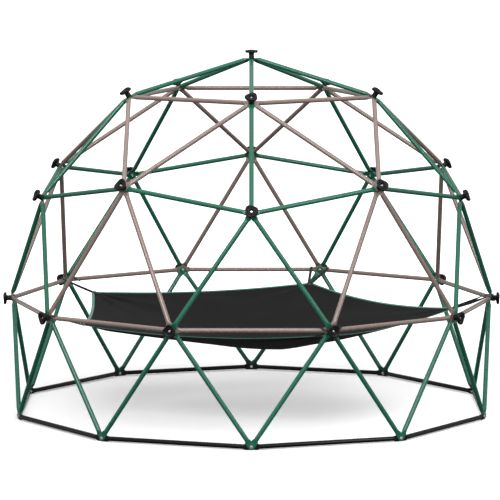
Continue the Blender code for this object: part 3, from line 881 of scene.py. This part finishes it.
def add_ribbon(shape, points, sides, width, thickness):
    """Webbing: flat band with rounded selvedges, open at both ends."""
    points, sides = np.asarray(points), np.asarray(sides)
    run = np.gradient(points, axis=0)
    run /= np.linalg.norm(run, axis=1)[:, None]
    sides = sides - run * np.sum(sides * run, 1)[:, None]
    sides /= np.linalg.norm(sides, axis=1)[:, None]
    normal = np.cross(sides, run)
    section = [(-1.0, 0.0), (-0.97, 0.42), (-0.88, 0.5), (0.0, 0.5), (0.88, 0.5),
               (0.97, 0.42), (1.0, 0.0), (0.97, -0.42), (0.88, -0.5), (0.0, -0.5),
               (-0.88, -0.5), (-0.97, -0.42)]
    rows = np.stack([points + sides * (a * width / 2) + normal * (b * thickness)
                     for a, b in section], 1)
    uvs = np.zeros(rows.shape[:2] + (2,))
    uvs[..., 0] = run_length(points)[:, None]
    uvs[..., 1] = np.array([a for a, _ in section]) * width / 2
    shape.rows(rows, caps=(True, True), uvs=uvs)


def corner_frame(azimuth):
    """Middle of a seat corner, its inward slope, its tangent and its upward normal."""
    corner = seat_corner(azimuth)
    tangent = polar(1.0, azimuth + 90)
    slope = bowl(corner, 0.95) - corner
    slope = unit(slope - tangent * slope.dot(tangent))
    normal = np.cross(tangent, slope)
    return corner, slope, tangent, normal * np.sign(normal[2])


def spline(points, steps):
    """Smooth line through the points."""
    points = np.asarray(points)
    ends = np.vstack([2 * points[0] - points[1], points, 2 * points[-1] - points[-2]])
    line = []
    for i in range(1, len(ends) - 2):
        a, b, c, d = ends[i - 1:i + 3]
        for t in np.arange(steps) / steps:
            line.append(0.5 * (2 * b + (c - a) * t + (2 * a - 5 * b + 4 * c - d) * t * t
                               + (3 * b - a - 3 * c + d) * t ** 3))
    return np.array(line + [points[-1]])


def strap_route(azimuth, side):
    """Half of a strap: from under the grip's stem, over a rail, to the seat corner.

    Returns its centre line, the way its width points, and the sewn tail's start."""
    position, outward = HUBS[ring("waist", azimuth)]
    around = polar(1.0, azimuth + 90) * side
    up = np.array((0, 0, 1.0))

    def place(points):
        return np.array([position + around * x + outward * y + up * z for x, y, z in points])

    radius = GRIP_STEM + STRAP_PLY / 2 + 0.0003
    leave = math.acos(radius / math.hypot(CROSSING, CROSSING_LIFT)) \
        - math.atan2(CROSSING_LIFT, CROSSING)
    arc = place([(radius * math.cos(t), STRAP_RUN, radius * math.sin(t))
                 for t in np.linspace(-math.pi / 2, -leave, 9)])
    bend = place([(radius * math.cos(leave), STRAP_RUN, -radius * math.sin(leave)),
                  (0.0330, STRAP_RUN, -0.0012), (0.0500, 0.0230, 0.0112),
                  (0.0600, 0.0205, 0.0175), (0.0662, 0.0140, 0.0202),
                  (CROSSING, 0.0030, CROSSING_LIFT), (CROSSING, -0.0140, 0.0189),
                  (0.0686, -0.0260, 0.0153)])
    corner, slope, tangent, normal = corner_frame(azimuth)
    tangent = tangent * side
    anchor = corner + tangent * 0.0155
    sandwich = SHEET_PLY / 2 + STRAP_PLY / 2 + 0.0012
    lead = anchor - slope * 0.012 + normal * (sandwich + 0.0010)
    tip = anchor + slope * SEWN_LENGTH - tangent * 0.004
    span = spline([bend[-1], bend[-1] * 0.5 + lead * 0.5 - up * 0.003, lead,
                   anchor + normal * sandwich], 10)
    tail = np.array([(anchor * (1 - t) + tip * t) + normal * sandwich
                     for t in np.linspace(0, 1, 8)[1:]])
    rise = spline(bend, 6)
    line = np.concatenate([arc[:-1], rise[:-1], span[:-1], span[-1:], tail])
    run = np.gradient(line, axis=0)
    run /= np.linalg.norm(run, axis=1)[:, None]
    flat = np.cross(up, run)
    flat /= np.linalg.norm(flat, axis=1)[:, None]
    # the free span rolls part of the way over between the rail and the seat
    first = len(arc) + len(rise) - 2
    turn = np.zeros(len(line))
    free = np.linspace(0, 1, len(span))
    turn[first:first + len(span)] = SPAN_ROLL[azimuth] * np.sin(math.pi * free) ** 0.8
    face = np.cross(run, flat)
    sides = flat * np.cos(turn)[:, None] + face * (np.sin(turn) * side)[:, None]
    sewn = flat[-1] * np.sign(flat[-1] @ tangent)
    share = smooth(np.linspace(0, 1, len(span)), 0.6, 1.0)[:, None]
    keep = np.sign(sides[first] @ tangent)
    sides[first:first + len(span)] = (sides[first:first + len(span)] * (1 - share)
                                      + tangent * keep * share)
    sides[first + len(span):] = tangent * keep
    return line, sides, (anchor, tip, sewn, normal, sandwich)


def build_straps():
    """One band per corner, from one side of the seat corner up and back to the other."""
    box = Shape()
    for index, azimuth in enumerate(SEAT_AZIMUTHS):
        shape = Shape()
        right, right_sides, _ = strap_route(azimuth, 1)
        left, left_sides, _ = strap_route(azimuth, -1)
        line = np.concatenate([left[:0:-1], right])
        sides = np.concatenate([-left_sides[:0:-1], right_sides])
        sides *= np.sign(np.sum(sides * HUBS[ring("waist", azimuth)][1], 1).mean())
        for k in range(1, len(sides)):
            if sides[k] @ sides[k - 1] < 0:
                sides[k] = -sides[k]
        add_ribbon(shape, line, sides, STRAP_WIDTH, STRAP_PLY)
        # a doubled length takes the wear on the stem
        middle = len(left) - 1
        near = slice(middle - 17, middle + 18)
        away = np.cross(np.gradient(line, axis=0)[near], sides[near])
        away /= np.linalg.norm(away, axis=1)[:, None]
        away *= -np.sign(away[17][2])
        add_ribbon(shape, line[near] + away * (STRAP_PLY / 2 + 0.0016), sides[near],
                   STRAP_WIDTH + 0.0030, 0.0030)
        obj = shape.make("hammock_webbing_%d" % (index + 1), WEBBING, 60)
        attach(obj, None, ["hammock_strap_%d" % (index + 1)])
        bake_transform(obj)
        for side in (1, -1):
            box_stitch(box, *strap_route(azimuth, side)[2])
    thread = box.make("hammock_corner_stitches", THREAD, 60, outward=False)
    attach(thread, "hammock")
    return thread


def box_stitch(shape, anchor, tip, across, normal, sandwich):
    """Rectangle and cross of thread over a sewn tail."""
    lift = normal * (sandwich + STRAP_PLY / 2 + 0.0001)
    half = across * (STRAP_WIDTH / 2 - 0.0028)
    along = unit(tip - anchor)
    a, b = anchor + along * 0.006 + lift, tip - along * 0.004 + lift
    ring_of = [a + half, b + half, b - half, a - half, a + half]
    for start, stop in list(zip(ring_of, ring_of[1:])) + [(a + half, b - half),
                                                          (a - half, b + half)]:
        path = np.array([start * (1 - t) + stop * t for t in np.linspace(0, 1, 8)])
        add_stitches(shape, path, np.tile(normal, (8, 1)), 0.0042, 0.00045, closed=False)


build_stage()
build_tubes()
build_grips()
build_fasteners()
fabric, fabric_area = build_sheet()
tape, edge_thread = build_binding()
corner_thread = build_straps()
